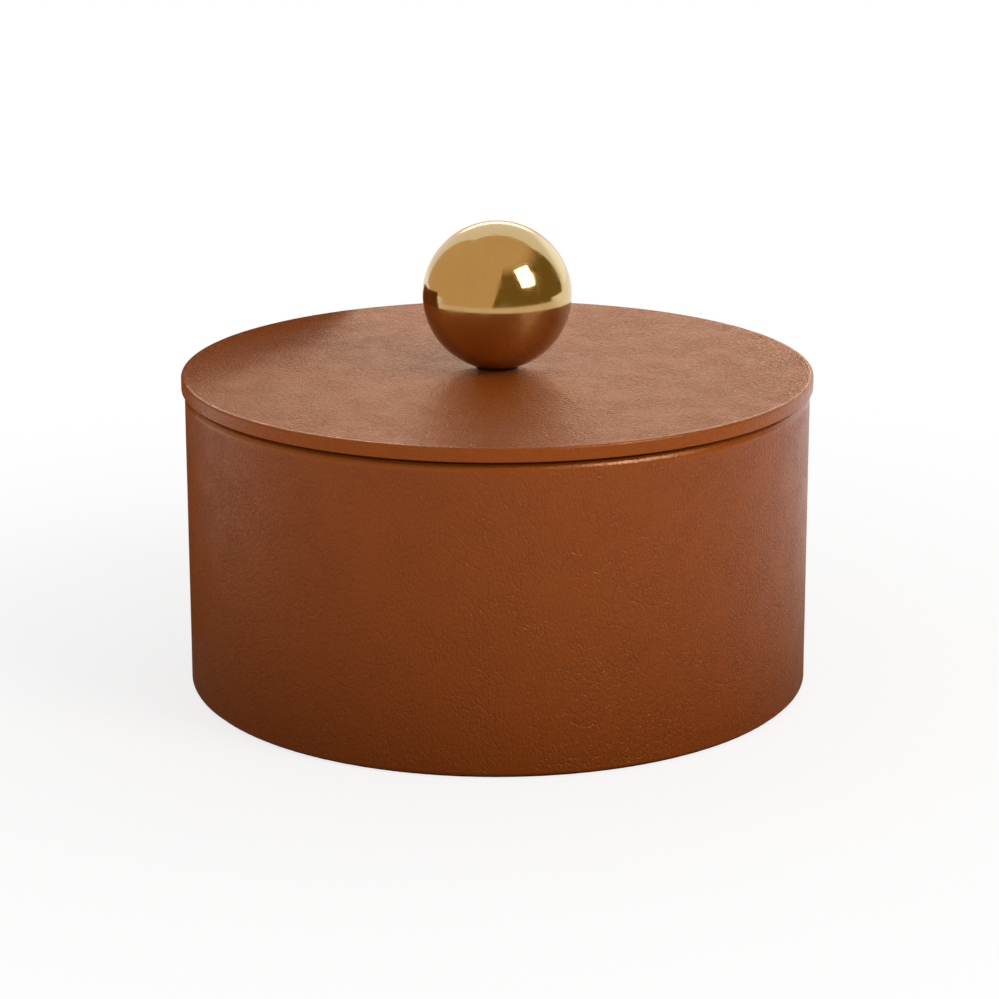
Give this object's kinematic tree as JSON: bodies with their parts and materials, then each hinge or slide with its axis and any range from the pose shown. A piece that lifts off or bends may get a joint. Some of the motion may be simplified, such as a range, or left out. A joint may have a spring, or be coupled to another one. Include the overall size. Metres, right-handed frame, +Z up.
{
  "type": "collar box",
  "caption": "Round leather-covered collar box with a lift-off lid, a brass ball knob, and a suede lining.",
  "frame": {"origin": "centre of the underside of the felt foot, on the table", "axes": "+Z up along the axis of the round box, +Y towards the seam at the back, +X to the right seen from the front"},
  "size_m": [0.1698, 0.1698, 0.1257],
  "materials": {
    "leather": "pebbled tan calf, semi-matt",
    "suede": "brown suede, short nap",
    "felt": "dark pressed felt",
    "board": "raw birch plywood",
    "card": "grey bookbinding card",
    "foam": "thin open-cell foam",
    "brass": "mirror-polished",
    "steel": "bright zinc plated",
    "fibre": "black vulcanised fibre"
  },
  "bodies": {
    "box": {"wall_core": "board", "base_board": "board", "body_leather": "leather", "foot_infill_card": "card", "base_felt": "felt", "lining_card": "card", "lining_suede": "suede", "floor_card": "card", "floor_foam": "foam", "floor_suede": "suede"},
    "lid": {"lid_board": "board", "lid_leather": "leather", "lid_infill_card": "card", "plug_board": "board", "plug_cover_card": "card", "plug_suede": "suede", "knob_ball": "brass", "knob_seat_washer": "fibre", "knob_screw": "steel", "knob_penny_washer": "steel", "knob_spring_washer": "steel"}
  },
  "joints": [
    {"name": "lid_lift", "type": "slide", "parent": "box", "child": "lid", "axis": [0, 0, 1], "range_m": [0, 0.12]}
  ]
}
